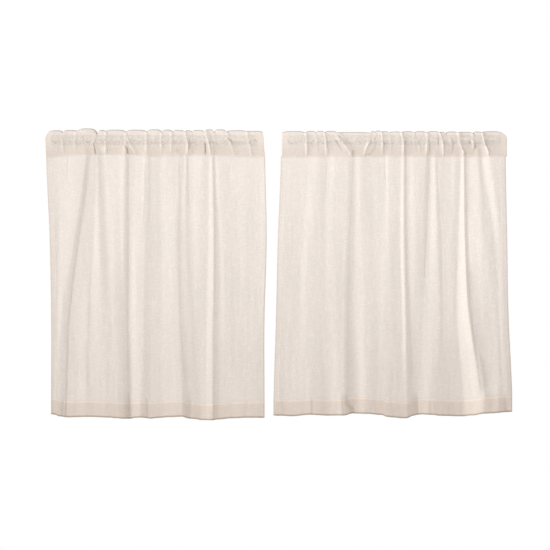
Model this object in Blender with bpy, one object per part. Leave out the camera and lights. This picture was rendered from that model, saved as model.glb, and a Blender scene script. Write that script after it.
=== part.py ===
"""A pair of cafe curtains with rod pockets, hung side by side as on one rod.

Each curtain is a heading, the pocket that a rod slides through, and a panel below it with a
hem at its foot and a narrow hem down each side. The tables are in millimetres and the meshes
in metres. X runs along the rod, Z is up and the front faces -Y. The origin is the middle of
the pair on the line of its top edge.
"""

import math
from collections import namedtuple

import bmesh
import bpy

MM = 0.001

# Driving sizes, in millimetres
LEFT_CORNER = -732.0  # where the left curtain's left edge hangs
RIGHT_CORNER = 29.0
ROD_DROP = 30.0  # top edge down to the middle of the rod's space
ROD_HALF = 16.6  # half the heading's depth over a 27 mm rod, cloth included
SEAM_HALF = 1.7  # half the depth of the two layers where they are sewn together
POCKET_CLOTH = 1.6  # one layer of the pocket
PANEL_CLOTH = 1.5
HEM_CLOTH = 2.4  # the doubled cloth of the hems
HEM_HEIGHT = 47.0
SIDE_HEM = 18.0
HEM_STEP = 3.0  # the fall from doubled to single cloth
STRAIGHT = 8.0  # the panel hangs straight for this far below the seam
SEWING_GAP = 0.3  # between the heading and its panel
PANEL_ROWS = 8  # steps between the seam and the hem's stitching

# Where the section of the pocket has its points: -1 is the seam, 0 the rod, 1 the top edge
FRONT_POINTS = (-1.0, -0.66, -0.33, 0.0, 0.45, 0.8)
BACK_POINTS = (0.6, 0.0, -0.5, -1.0)
INNER_POINTS = (-0.6, -0.2, 0.35, 0.78)
INNER_FOOT = -0.96
INNER_TOP = 0.94
CROWN_POWER = 3.0  # how square the crown over the rod is: 2 is an ellipse
GATHERED_FROM = -0.25  # above this the gathers have their full depth
PUFF_STEPS = (0.2, 0.8)  # points of a puff between two gathers, as shares of its width
PUFF_POWER = 4  # how square a puff is
COLUMN_CLEAR = 4.0  # two columns of the heading keep this far apart
NARROW, WIDE = 30, 75  # a narrower or wider stretch between folds takes 2 or 4 columns
BACK_SHARE = 0.6  # the puffs are this much shallower on the back

CLOTH_COLOUR = (0.84, 0.78, 0.72, 1.0)

# A fold is a crest or a valley that runs down the panel. across is its distance from the
# curtain's left corner at the seam, a third down, two thirds down and at the hem; depth is
# how far the cloth stands forward there; foot is how far the bottom edge hangs below the
# panel's drop.
Fold = namedtuple("Fold", "name across depth foot")

LEFT_DROP = 925.0
LEFT_FOLDS = (
    Fold("left edge", (0, 11, 16, 16), (1.5, 1.5, 1.5, 1.5), -9),
    Fold("side hem", (20, 31, 33, 27), (0, 0, 0.5, 0.5), -8),
    Fold("long swell", (127, 92, 52, 40), (7, 7, 3, 0.5), -2),
    Fold("long crease", (140, 107, 84, 68), (2.5, 3, 0.5, -2.5), 2),
    Fold("small ridge foot", (144, 126, 107, 97), (2.5, 3.5, 1, -2), 1),
    Fold("small ridge", (155, 147, 132, 128), (2.5, 3, 3, 0.5), 0),
    Fold("gather foot", (159, 151, 140, 138), (2, 3, 2, -0.5), 0),
    Fold("gather ridge", (166, 172, 188, 206), (1.5, 7.5, 6.5, 3), 2),
    Fold("gather crease", (180, 194, 208, 222), (-2, 4.5, 6, 3), 4),
    Fold("soft streak", (197, 220, 228, 230), (0.5, 7.5, 7, 3), 4),
    Fold("hollow", (233, 238, 241, 241), (2.5, 8, 6, 2), 5),
    Fold("second crease lip", (254, 251, 251, 251), (5.5, 9.5, 5, 0.5), 6),
    Fold("second crease", (264, 264, 266, 268), (1.5, 4.5, 1, -6.5), 7),
    Fold("broad flank", (308, 292, 291, 288), (3.5, 8.5, 7, -0.5), 3),
    Fold("broad crest", (323, 318, 313, 305), (5.5, 11, 9.5, 2), 2),
    Fold("broad valley", (341, 342, 342, 338), (2, 7, 6.5, -3), 6),
    Fold("middle hollow", (368, 373, 360, 356), (0.5, 5, 6.5, -3), 4),
    Fold("middle flank", (390, 396, 394, 396), (3, 7.5, 9.5, -0.5), 1),
    Fold("middle crest", (425, 418, 427, 438), (3, 10, 12.5, 4), -1),
    Fold("middle valley", (444, 438, 447, 462), (0.5, 6.5, 8.5, -4), 6),
    Fold("pleat crest", (451, 448, 463, 473), (1.5, 6.5, 8, -4), 7),
    Fold("pleat foot", (459, 463, 480, 486), (-0.5, 4, 6, -5.5), 8),
    Fold("low crest", (505, 496, 496, 497), (2.5, 6, 5.5, -6), 11),
    Fold("ridge foot", (524, 522, 513, 512), (0.5, 4.5, 5.5, -4.5), 11),
    Fold("sharp ridge", (536, 541, 541, 538), (2.5, 8.5, 12, 1), 11),
    Fold("sharp crease", (543, 550, 552, 550), (0, 3, 6, -4.5), 9),
    Fold("crease lip", (553, 570, 584, 600), (2, 6, 8.5, -3), 5),
    Fold("flat", (635, 640, 642, 645), (0.5, 4, 7.5, -2), 3),
    Fold("right edge", (706, 711, 704, 704), (0, 3.5, 6.5, -2.5), 3),
)

RIGHT_DROP = 920.0
RIGHT_FOLDS = (
    Fold("left edge", (-3, -13, -19, -27), (1, 1, 1, 1), 0),
    Fold("side hem", (17, 6, 1, -7), (0, 0, 0, 0), 1),
    Fold("flat", (84, 62, 42, 30), (-0.5, -1, -1, -0.5), 3),
    Fold("first swell", (118, 98, 92, 90), (2.5, 2, 2, 2), -2),
    Fold("first hollow", (149, 140, 142, 150), (0.5, 0, 0, -1), 1),
    Fold("soft crest", (174, 170, 178, 190), (3, 1.5, 1.5, 3.5), 0),
    Fold("crease lip", (212, 206, 197, 200), (2.5, 1.5, 2, 4), 0),
    Fold("first crease", (236, 233, 229, 230), (-2, -4.5, -5, -7.5), -5),
    Fold("first crest", (250, 260, 270, 274), (0.5, -0.5, 0.5, 1), -5),
    Fold("shallow valley", (288, 306, 314, 322), (-2, -2, 0.5, -1.5), -1),
    Fold("small pinch", (333, 332, 332, 340), (-3, -0.5, 1.5, -2), 5),
    Fold("wide crest", (344, 348, 348, 356), (-0.5, 1.5, 2, -2.5), 7),
    Fold("ridge foot", (383, 382, 386, 390), (-1, 0, 1.5, -4), 10),
    Fold("sharp ridge", (394, 393, 399, 402), (1.5, 5, 5.5, -4), 10),
    Fold("sharp crease", (402, 404, 411, 428), (-1.5, 1, 0.5, -11), 2),
    Fold("dark hollow", (428, 434, 432, 438), (2, 4.5, 1, -11), 0),
    Fold("second lip", (463, 450, 444, 445), (2, 4, 1.5, -10.5), -1),
    Fold("second valley", (477, 472, 455, 451), (-3, 1, 2, -9.5), -2),
    Fold("second crest", (494, 501, 506, 486), (1, 6.5, 8, -4), -1),
    Fold("third valley", (504, 514, 522, 512), (-0.5, 4.5, 6.5, -6), 2),
    Fold("low dip", (543, 540, 543, 545), (-2.5, 5, 7, -8), 3),
    Fold("low crest", (560, 553, 553, 562), (-0.5, 5.5, 7.5, -8.5), 4),
    Fold("great fold foot", (577, 568, 563, 584), (-1.5, 4.5, 7, -9), 4),
    Fold("great fold flank", (582, 579, 583, 613), (1, 9.5, 16, 2), 0),
    Fold("great fold", (587, 588, 599, 650), (4, 17, 31, 23), -8),
    Fold("great fold edge", (596, 597, 609, 674), (0, 13.5, 27.5, 20), -9),
    Fold("third crest", (632, 650, 681, 698), (5.5, 24, 32.5, 21.5), -11),
    Fold("fourth valley", (643, 680, 694, 708), (3, 23, 32, 21), -12),
    Fold("last crest", (672, 704, 706, 719), (11.5, 27.5, 34, 21), -13),
    Fold("right edge", (720, 722, 725, 739), (10, 27, 33.5, 20.5), -14),
)

# A gather is a crease of the heading. top and seam are its distances from the left corner,
# dip is how far the top edge falls at it, rise is how far the top edge stands over its line
# between it and the next gather, and puff is how far the cloth stands forward there.
Gather = namedtuple("Gather", "top seam dip rise puff")

LEFT_GATHERS = (
    Gather(0, 0, 4, -1, 1.5),
    Gather(55, 55, 6, 1, 2.0),
    Gather(95, 95, 3, 5, 3.5),
    Gather(165, 157, 13, 0, 3.0),
    Gather(192, 195, 4, 1, 2.5),
    Gather(260, 266, 5, 1, 3.5),
    Gather(325, 325, 5, 1, 3.0),
    Gather(371, 373, 7, 0, 2.0),
    Gather(405, 405, 6, -1, 3.0),
    Gather(444, 441, 7, -1, 4.0),
    Gather(460, 461, 5, -1, 2.0),
    Gather(475, 477, 6, 0, 2.5),
    Gather(510, 518, 7, 1, 4.5),
    Gather(538, 543, 7, 1, 3.0),
    Gather(580, 599, 6, -1, 3.5),
    Gather(648, 660, 4, -3, 2.0),
    Gather(699, 706, 6, -6, 1.0),
)

RIGHT_GATHERS = (
    Gather(0, 0, 8, -4, 1.5),
    Gather(78, 81, 9, -3, 2.5),
    Gather(107, 110, 10, -2, 3.0),
    Gather(141, 147, 9, -2, 3.0),
    Gather(174, 225, 7, -7, 5.0),
    Gather(281, 252, 10, -3, 4.5),
    Gather(304, 286, 7, -3, 2.0),
    Gather(320, 331, 8, -5, 3.0),
    Gather(359, 362, 11, -5, 2.5),
    Gather(388, 393, 8, -4, 3.5),
    Gather(425, 433, 10, -4, 3.0),
    Gather(468, 475, 10, -4, 3.5),
    Gather(509, 513, 9, -6, 3.0),
    Gather(541, 549, 12, -5, 2.5),
    Gather(567, 585, 9, -6, 4.0),
    Gather(612, 617, 12, -5, 3.0),
    Gather(643, 665, 8, -4, 3.0),
    Gather(723, 724, 8, -6, 1.0),
)

# How far the crown draws back from the curtain's left and right edge at the top
LEFT_ENDS = (13, 2)
RIGHT_ENDS = (1, 17)
END_LENGTH = 45.0  # the stretch at an end that draws back

# How far the pocket's seam lies below the top edge, at distances from the left corner
LEFT_SEAM = ((0, 89), (125, 80), (265, 80), (340, 86), (460, 83), (560, 84), (706, 88))
RIGHT_SEAM = ((0, 89), (190, 86), (724, 86))


def smooth(share):
    return share * share * (3 - 2 * share)


def between(start, end, share):
    return start + (end - start) * share


def along(points, across):
    """Reads a short list of (distance, value) points at a distance across the curtain."""
    for (x0, v0), (x1, v1) in zip(points, points[1:]):
        if across <= x1:
            return between(v0, v1, smooth(max(0.0, (across - x0) / (x1 - x0))))
    return points[-1][1]


def down(values, share):
    """Reads a fold's four values on one smooth curve, at a share of the way to the hem."""
    place = min(max(share, 0.0), 1.0) * 3
    i = min(int(place), 2)
    s = place - i
    before, here, after, beyond = (values[min(max(k, 0), 3)] for k in range(i - 1, i + 3))
    slope_here, slope_after = (after - before) / 2, (beyond - here) / 2
    return (
        here * (2 * s**3 - 3 * s**2 + 1)
        + slope_here * (s**3 - 2 * s**2 + s)
        + after * (3 * s**2 - 2 * s**3)
        + slope_after * (s**3 - s**2)
    )


def profile(folds, share):
    """The folds as (distance, depth) points at a share of the way from seam to hem."""
    return [(down(f.across, share), down(f.depth, share)) for f in folds]


def tangents(points):
    """Slopes of a smooth curve through (distance, depth) points, level at every crest and
    every valley."""
    slopes = [(d1 - d0) / (x1 - x0) for (x0, d0), (x1, d1) in zip(points, points[1:])]
    inner = [2 * a * b / (a + b) if a * b > 0 else 0.0 for a, b in zip(slopes, slopes[1:])]
    return [slopes[0], *inner, slopes[-1]]


def depth_at(points, slopes, i, s):
    """Depth at a share of the way from one fold to the next."""
    (x0, d0), (x1, d1) = points[i : i + 2]
    width = x1 - x0
    return (
        d0 * (2 * s**3 - 3 * s**2 + 1)
        + slopes[i] * width * (s**3 - 2 * s**2 + s)
        + d1 * (3 * s**2 - 2 * s**3)
        + slopes[i + 1] * width * (s**3 - s**2)
    )


def seam_depth(folds, across):
    """How far the panel stands forward at a place along its seam."""
    points = profile(folds, 0.0)
    i = max(k for k in range(len(points) - 1) if k == 0 or points[k][0] <= across)
    share = (across - points[i][0]) / (points[i + 1][0] - points[i][0])
    return depth_at(points, tangents(points), i, share)


def steps_between(first, second):
    """How many columns a stretch between two folds takes: more where it is wide."""
    width = second.across[0] - first.across[0]
    return 2 if width < NARROW else 3 if width < WIDE else 4


def panel_columns(folds):
    """Places across the panel as (fold's number, share of the way to the next fold)."""
    places = []
    for i, (first, second) in enumerate(zip(folds, folds[1:])):
        steps = steps_between(first, second)
        places += [(i, k / steps) for k in range(steps)]
    return places + [(len(folds) - 2, 1.0)]


def panel_rows():
    """Heights on the panel, from the top: (share of the way to the hem's stitching,
    millimetres below that place, how much of the hem is below it)."""
    rows = [(0.0, SEWING_GAP, 0.0), (0.0, STRAIGHT, 0.0)]
    rows += [(k / PANEL_ROWS, 0.0, 0.0) for k in range(1, PANEL_ROWS + 1)]
    return rows + [(1.0, HEM_STEP, 0.0), (1.0, 0.0, 1.0)]


def material(name, roughness):
    mat = bpy.data.materials.new(name)
    mat.use_nodes = True
    shader = mat.node_tree.nodes["Principled BSDF"]
    shader.inputs["Base Color"].default_value = CLOTH_COLOUR
    shader.inputs["Roughness"].default_value = roughness
    shader.inputs["Metallic"].default_value = 0.0
    return mat


def add_object(name, bm, corner, roughness):
    """Makes one node of the curtain, with its left corner at its place along the rod."""
    mesh = bpy.data.meshes.new(name)
    bm.to_mesh(mesh)
    bm.free()
    mesh.shade_smooth()
    mesh.materials.append(material(name + "_cloth", roughness))
    node = bpy.data.objects.new(name, mesh)
    node.location.x = corner * MM
    bpy.context.scene.collection.objects.link(node)
    return node


def add_panel(name, corner, drop, folds, seam):
    """The hanging sheet on its folds, thicker where the hems double it."""
    bm = bmesh.new()
    columns, rows = panel_columns(folds), panel_rows()
    grid, doubled = [], []
    for share, below, hem in rows:
        line = []
        points = profile(folds, share)
        slopes = tangents(points)
        for i, part in columns:
            x = between(points[i][0], points[i + 1][0], part)
            depth = depth_at(points, slopes, i, part)
            top = along(seam, between(folds[i].across[0], folds[i + 1].across[0], part))
            foot = drop + between(folds[i].foot, folds[i + 1].foot, smooth(part))
            fall = between(top, foot - HEM_HEIGHT, share) + below + hem * HEM_HEIGHT
            line.append(bm.verts.new((x * MM, -depth * MM, -fall * MM)))
        left, right = line[0].co.x + SIDE_HEM * MM, line[-1].co.x - SIDE_HEM * MM
        in_hem = share == 1.0 and (below > 0 or hem > 0)
        doubled += [in_hem or v.co.x < left or v.co.x > right for v in line]
        grid.append(line)
    for upper, lower in zip(grid, grid[1:]):
        for k in range(len(columns) - 1):
            bm.faces.new((upper[k], lower[k], lower[k + 1], upper[k + 1]))
    bm.verts.index_update()
    panel = add_object(name, bm, corner, 0.9)
    layers = panel.vertex_groups.new(name="layers")
    for i, two_layers in enumerate(doubled):
        layers.add([i], 1.0 if two_layers else PANEL_CLOTH / HEM_CLOTH, "REPLACE")
    cloth = panel.modifiers.new("cloth", "SOLIDIFY")
    cloth.thickness = HEM_CLOTH * MM
    cloth.offset = -1.0
    cloth.use_even_offset = True
    cloth.vertex_group = layers.name
    return panel


def heading_columns(gathers, folds):
    """Places across the heading as (gather's number, share of the way to the next): the
    gathers, the puffs between them and the folds of the panel below."""
    places = []
    for i, (first, second) in enumerate(zip(gathers, gathers[1:])):
        width = second.seam - first.seam
        shares = {0.0, *PUFF_STEPS}
        for fold in folds:
            share = (fold.across[0] - first.seam) / width
            clear = min(abs(share - s) for s in (*shares, 1.0)) * width
            if 0 < share < 1 and clear > COLUMN_CLEAR:
                shares.add(share)
        places += [(i, share) for share in sorted(shares)]
    return places + [(len(gathers) - 2, 1.0)]


def half_depth(point):
    """Half the pocket's depth: a round crown over the rod, drawn in to the seam."""
    if point >= 0:
        return ROD_HALF * (1 - point**CROWN_POWER) ** (1 / CROWN_POWER)
    return between(SEAM_HALF, ROD_HALF, math.cos(point * math.pi / 2))


def drawn_back(across, point, ends, width):
    """How far a point of the crown moves in from the nearer end of the pocket."""
    from_left, from_right = across / END_LENGTH, (width - across) / END_LENGTH
    left = ends[0] * smooth(max(0.0, 1 - from_left))
    right = ends[1] * smooth(max(0.0, 1 - from_right))
    return (left - right) * max(0.0, point) ** 2


def pocket_ring(bm, place, gathers, folds, seam, ends):
    """One section of the pocket at a place across it, as its outer and its inner ring."""
    i, share = place
    first, second = gathers[i], gathers[i + 1]
    at_seam = between(first.seam, second.seam, share)
    at_top = between(first.top, second.top, share)
    crown = 1 - abs(2 * share - 1) ** PUFF_POWER
    puff = first.puff * crown
    top = between(-between(first.dip, second.dip, share), first.rise, crown)
    seam_drop = along(seam, at_seam)
    fold = seam_depth(folds, at_seam)

    def vertex(point, side, inset):
        low, high = ROD_DROP - seam_drop, ROD_DROP + top
        height = -ROD_DROP + (point * high if point > 0 else -point * low)
        gathered = smooth(min(1.0, (point + 1) / (GATHERED_FROM + 1)))
        across = between(at_seam, at_top, (point + 1) / 2)
        across += drawn_back(at_seam, point, ends, gathers[-1].seam)
        swell = puff * gathered * (1 if side < 0 else BACK_SHARE)
        depth = max(0.0, half_depth(point) - inset) if inset is not None else 0.0
        swell = swell if depth else 0.0
        y = side * (depth + swell) - (fold - SEAM_HALF) * (1 - gathered)
        return bm.verts.new((across * MM, y * MM, height * MM))

    outer = [vertex(p, -1, 0.0) for p in FRONT_POINTS]
    outer += [vertex(1.0, 1, None)] + [vertex(p, 1, 0.0) for p in BACK_POINTS]
    inner = [vertex(INNER_FOOT, -1, None)] + [vertex(p, -1, POCKET_CLOTH) for p in INNER_POINTS]
    inner += [vertex(INNER_TOP, 1, None)]
    inner += [vertex(p, 1, POCKET_CLOTH) for p in reversed(INNER_POINTS)]
    return outer, inner


def skin(bm, first, second):
    """Joins two like rings with a band of faces."""
    count = len(first)
    for k in range(count):
        m = (k + 1) % count
        bm.faces.new((first[k], first[m], second[m], second[k]))


def close_end(bm, outer, inner):
    """Fills the cut edge of the cloth at an end of the pocket and leaves its mouth open."""
    rims = [bm.edges.get((r[k - 1], r[k])) for r in (outer, inner) for k in range(len(r))]
    bmesh.ops.bridge_loops(bm, edges=rims)


def add_heading(name, corner, gathers, folds, seam, ends):
    """The rod pocket, open at both ends."""
    bm = bmesh.new()
    rings = [
        pocket_ring(bm, place, gathers, folds, seam, ends)
        for place in heading_columns(gathers, folds)
    ]
    for (outer, inner), (next_outer, next_inner) in zip(rings, rings[1:]):
        skin(bm, outer, next_outer)
        skin(bm, next_inner, inner)
    for outer, inner in (rings[0], rings[-1]):
        close_end(bm, outer, inner)
    bmesh.ops.recalc_face_normals(bm, faces=bm.faces)
    return add_object(name, bm, corner, 0.92)


def main():
    for old in list(bpy.data.objects):
        bpy.data.objects.remove(old)
    add_heading("left_heading", LEFT_CORNER, LEFT_GATHERS, LEFT_FOLDS, LEFT_SEAM, LEFT_ENDS)
    add_panel("left_panel", LEFT_CORNER, LEFT_DROP, LEFT_FOLDS, LEFT_SEAM)
    add_heading(
        "right_heading", RIGHT_CORNER, RIGHT_GATHERS, RIGHT_FOLDS, RIGHT_SEAM, RIGHT_ENDS
    )
    add_panel("right_panel", RIGHT_CORNER, RIGHT_DROP, RIGHT_FOLDS, RIGHT_SEAM)


main()
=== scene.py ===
"""The finished look of a pair of rod pocket cafe curtains, laid out as an add-on.

Every table below is in millimetres from a curtain's left corner and its top edge, as on a
maker's sheet; sizes in the property groups are in metres.
"""

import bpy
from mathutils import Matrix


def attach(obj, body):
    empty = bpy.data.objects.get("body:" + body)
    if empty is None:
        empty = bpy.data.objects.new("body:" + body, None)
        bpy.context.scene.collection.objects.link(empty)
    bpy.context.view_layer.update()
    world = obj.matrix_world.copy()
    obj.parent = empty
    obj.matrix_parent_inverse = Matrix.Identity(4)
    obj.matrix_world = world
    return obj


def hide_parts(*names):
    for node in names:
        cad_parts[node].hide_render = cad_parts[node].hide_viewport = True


bl_info = {
    "name": "Cafe curtain pair",
    "version": (1, 0, 0),
    "blender": (4, 5, 0),
    "location": "3D View > Sidebar > Curtains",
    "description": "Hangs, gathers, sews and lights a pair of rod pocket cafe curtains",
    "category": "Object",
}

import math
from collections import namedtuple

import bpy
import numpy as np
from bpy.props import FloatProperty, FloatVectorProperty, PointerProperty
from mathutils import Matrix, Vector, noise

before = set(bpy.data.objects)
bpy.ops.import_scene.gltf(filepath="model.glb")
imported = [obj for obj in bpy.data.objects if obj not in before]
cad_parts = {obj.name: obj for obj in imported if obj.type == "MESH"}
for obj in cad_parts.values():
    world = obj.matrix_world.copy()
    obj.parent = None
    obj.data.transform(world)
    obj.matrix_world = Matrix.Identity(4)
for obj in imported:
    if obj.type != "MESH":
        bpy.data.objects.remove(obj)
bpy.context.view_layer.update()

MM = 0.001

# A fold is a crest or a valley that runs down the panel. Its name is for the reader. across
# is its distance from the curtain's left corner at the seam, a third down, two thirds down
# and at the hem; depth is how far the cloth stands forward there; foot is how far the bottom
# edge hangs below the panel's drop.
Fold = namedtuple("Fold", "name across depth foot")

LEFT_FOLDS = [Fold(*row) for row in (
    ("left edge", (0, 11, 16, 16), (1.5, 1.5, 1.5, 1.5), -9),
    ("side hem", (20, 31, 33, 27), (0, 0, 0.5, 0.5), -8),
    ("long swell", (127, 92, 52, 40), (7, 7, 3, 0.5), -2),
    ("long crease", (140, 107, 84, 68), (2.5, 3, 0.5, -2.5), 2),
    ("small ridge foot", (144, 126, 107, 97), (2.5, 3.5, 1, -2), 1),
    ("small ridge", (155, 147, 132, 128), (2.5, 3, 3, 0.5), 0),
    ("gather foot", (159, 151, 140, 138), (2, 3, 2, -0.5), 0),
    ("gather ridge", (166, 172, 188, 206), (1.5, 7.5, 6.5, 3), 2),
    ("gather crease", (180, 194, 208, 222), (-2, 4.5, 6, 3), 4),
    ("soft streak", (197, 220, 228, 230), (0.5, 7.5, 7, 3), 4),
    ("hollow", (233, 238, 241, 241), (2.5, 8, 6, 2), 5),
    ("second crease lip", (254, 251, 251, 251), (5.5, 9.5, 5, 0.5), 6),
    ("second crease", (264, 264, 266, 268), (1.5, 4.5, 1, -6.5), 7),
    ("broad flank", (308, 292, 291, 288), (3.5, 8.5, 7, -0.5), 3),
    ("broad crest", (323, 318, 313, 305), (5.5, 11, 9.5, 2), 2),
    ("broad valley", (341, 342, 342, 338), (2, 7, 6.5, -3), 6),
    ("middle hollow", (368, 373, 360, 356), (0.5, 5, 6.5, -3), 4),
    ("middle flank", (390, 396, 394, 396), (3, 7.5, 9.5, -0.5), 1),
    ("middle crest", (425, 418, 427, 438), (3, 10, 12.5, 4), -1),
    ("middle valley", (444, 438, 447, 462), (0.5, 6.5, 8.5, -4), 6),
    ("pleat crest", (451, 448, 463, 473), (1.5, 6.5, 8, -4), 7),
    ("pleat foot", (459, 463, 480, 486), (-0.5, 4, 6, -5.5), 8),
    ("low crest", (505, 496, 496, 497), (2.5, 6, 5.5, -6), 11),
    ("ridge foot", (524, 522, 513, 512), (0.5, 4.5, 5.5, -4.5), 11),
    ("sharp ridge", (536, 541, 541, 538), (2.5, 8.5, 12, 1), 11),
    ("sharp crease", (543, 550, 552, 550), (0, 3, 6, -4.5), 9),
    ("crease lip", (553, 570, 584, 600), (2, 6, 8.5, -3), 5),
    ("flat", (635, 640, 642, 645), (0.5, 4, 7.5, -2), 3),
    ("right edge", (706, 711, 704, 704), (0, 3.5, 6.5, -2.5), 3),
)]

RIGHT_FOLDS = [Fold(*row) for row in (
    ("left edge", (-3, -13, -19, -27), (1, 1, 1, 1), 0),
    ("side hem", (17, 6, 1, -7), (0, 0, 0, 0), 1),
    ("flat", (84, 62, 42, 30), (-0.5, -1, -1, -0.5), 3),
    ("first swell", (118, 98, 92, 90), (2.5, 2, 2, 2), -2),
    ("first hollow", (149, 140, 142, 150), (0.5, 0, 0, -1), 1),
    ("soft crest", (174, 170, 178, 190), (3, 1.5, 1.5, 3.5), 0),
    ("crease lip", (212, 206, 197, 200), (2.5, 1.5, 2, 4), 0),
    ("first crease", (236, 233, 229, 230), (-2, -4.5, -5, -7.5), -5),
    ("first crest", (250, 260, 270, 274), (0.5, -0.5, 0.5, 1), -5),
    ("shallow valley", (288, 306, 314, 322), (-2, -2, 0.5, -1.5), -1),
    ("small pinch", (333, 332, 332, 340), (-3, -0.5, 1.5, -2), 5),
    ("wide crest", (344, 348, 348, 356), (-0.5, 1.5, 2, -2.5), 7),
    ("ridge foot", (383, 382, 386, 390), (-1, 0, 1.5, -4), 10),
    ("sharp ridge", (394, 393, 399, 402), (1.5, 5, 5.5, -4), 10),
    ("sharp crease", (402, 404, 411, 428), (-1.5, 1, 0.5, -11), 2),
    ("dark hollow", (428, 434, 432, 438), (2, 4.5, 1, -11), 0),
    ("second lip", (463, 450, 444, 445), (2, 4, 1.5, -10.5), -1),
    ("second valley", (477, 472, 455, 451), (-3, 1, 2, -9.5), -2),
    ("second crest", (494, 501, 506, 486), (1, 6.5, 8, -4), -1),
    ("third valley", (504, 514, 522, 512), (-0.5, 4.5, 6.5, -6), 2),
    ("low dip", (543, 540, 543, 545), (-2.5, 5, 7, -8), 3),
    ("low crest", (560, 553, 553, 562), (-0.5, 5.5, 7.5, -8.5), 4),
    ("great fold foot", (577, 568, 563, 584), (-1.5, 4.5, 7, -9), 4),
    ("great fold flank", (582, 579, 583, 613), (1, 9.5, 16, 2), 0),
    ("great fold", (587, 588, 599, 650), (4, 17, 31, 23), -8),
    ("great fold edge", (596, 597, 609, 674), (0, 13.5, 27.5, 20), -9),
    ("third crest", (632, 650, 681, 698), (5.5, 24, 32.5, 21.5), -11),
    ("fourth valley", (643, 680, 694, 708), (3, 23, 32, 21), -12),
    ("last crest", (672, 704, 706, 719), (11.5, 27.5, 34, 21), -13),
    ("right edge", (720, 722, 725, 739), (10, 27, 33.5, 20.5), -14),
)]

# A gather is a pinch in the heading. top, middle and seam are its distances from the left
# corner at the top edge, just below the rod and at the seam; dip is how far the top edge
# falls at it, rise is how far the top edge stands over its line between it and the next
# gather, and pinch is how far the pinched cloth stands forward.
Gather = namedtuple("Gather", "top middle seam dip rise pinch")

LEFT_GATHERS = [Gather(*row) for row in (
    (0, 0, 0, 4, -1, 0),
    (55, 55, 55, 7, 0, 1),
    (100, 98, 95, 3, 5, 2),
    (167, 155, 161, 14, 0, 3),
    (192, 196, 197, 4, 1, 4),
    (258, 258, 264, 6, 1, 3),
    (325, 325, 323, 5, 2, 3),
    (374, 373, 373, 7, 1, 3),
    (408, 405, 405, 6, 0, 3),
    (447, 459, 456, 7, -1, 7),
    (470, 470, 477, 6, 0, 2),
    (512, 526, 533, 8, 2, 7),
    (542, 546, 550, 8, 2, 3),
    (581, 596, 606, 6, -1, 5),
    (648, 655, 665, 4, -3, 3),
    (699, 702, 706, 6, -6, 0),
)]

RIGHT_GATHERS = [Gather(*row) for row in (
    (0, 0, 0, 8, -4, 0),
    (76, 82, 84, 9, -3, 5),
    (110, 112, 114, 10, -3, 2),
    (137, 143, 148, 9, -3, 5),
    (177, 198, 223, 8, -7, 4),
    (286, 281, 262, 10, -4, 3),
    (301, 300, 288, 8, -2, 3),
    (320, 325, 324, 6, -4, 5),
    (345, 350, 352, 10, -5, 2),
    (385, 393, 393, 9, -4, 7),
    (425, 425, 432, 9, -4, 3),
    (467, 470, 472, 9, -4, 5),
    (507, 520, 514, 9, -6, 6),
    (526, 543, 550, 14, -5, 2),
    (567, 574, 586, 9, -6, 8),
    (616, 619, 612, 12, -5, 5),
    (643, 651, 671, 8, -4, 8),
    (723, 723, 724, 8, -6, 0),
)]

# A crease is a sharp ridge of the cloth, or a trough where its height is below 0. left and
# right are how far its two flanks reach, and its path runs down the cloth as (distance from
# the left corner, fall below the top edge).
Crease = namedtuple("Crease", "height left right path")

LEFT_CREASES = [Crease(*row) for row in (
    (-1.6, 3, 9, ((134, 76), (122, 210), (103, 340), (85, 485), (70, 630), (60, 960))),
    (-1.5, 3, 6, ((262, 76), (262, 340), (262, 620), (264, 960))),
    (-1.5, 3, 6, ((539, 80), (543, 210), (545, 340), (545, 485), (542, 630), (541, 960))),
    (-0.9, 3, 6, ((431, 100), (432, 210), (429, 340), (436, 630), (449, 820))),
    (-0.9, 3, 5, ((169, 76), (173, 130), (178, 220))),
    (-0.8, 3, 6, ((72, 76), (70, 110), (66, 170))),
    (-0.8, 3, 6, ((333, 76), (334, 170), (333, 300))),
    (-1.1, 2, 5, ((456, 76), (456, 170), (462, 260))),
    (-0.6, 2, 5, ((602, 76), (590, 130), (586, 170))),
    (0.7, 6, 3, ((318, 90), (318, 200), (312, 300))),
    (-2.6, 16, 10, ((262, 845), (266, 960))),
    (-1.6, 6, 7, ((325, 862), (326, 960))),
    (-1.8, 14, 14, ((458, 850), (460, 960))),
    (-1.2, 7, 9, ((52, 864), (53, 960))),
    (1.0, 12, 16, ((136, 800), (140, 960))),
)]
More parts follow.
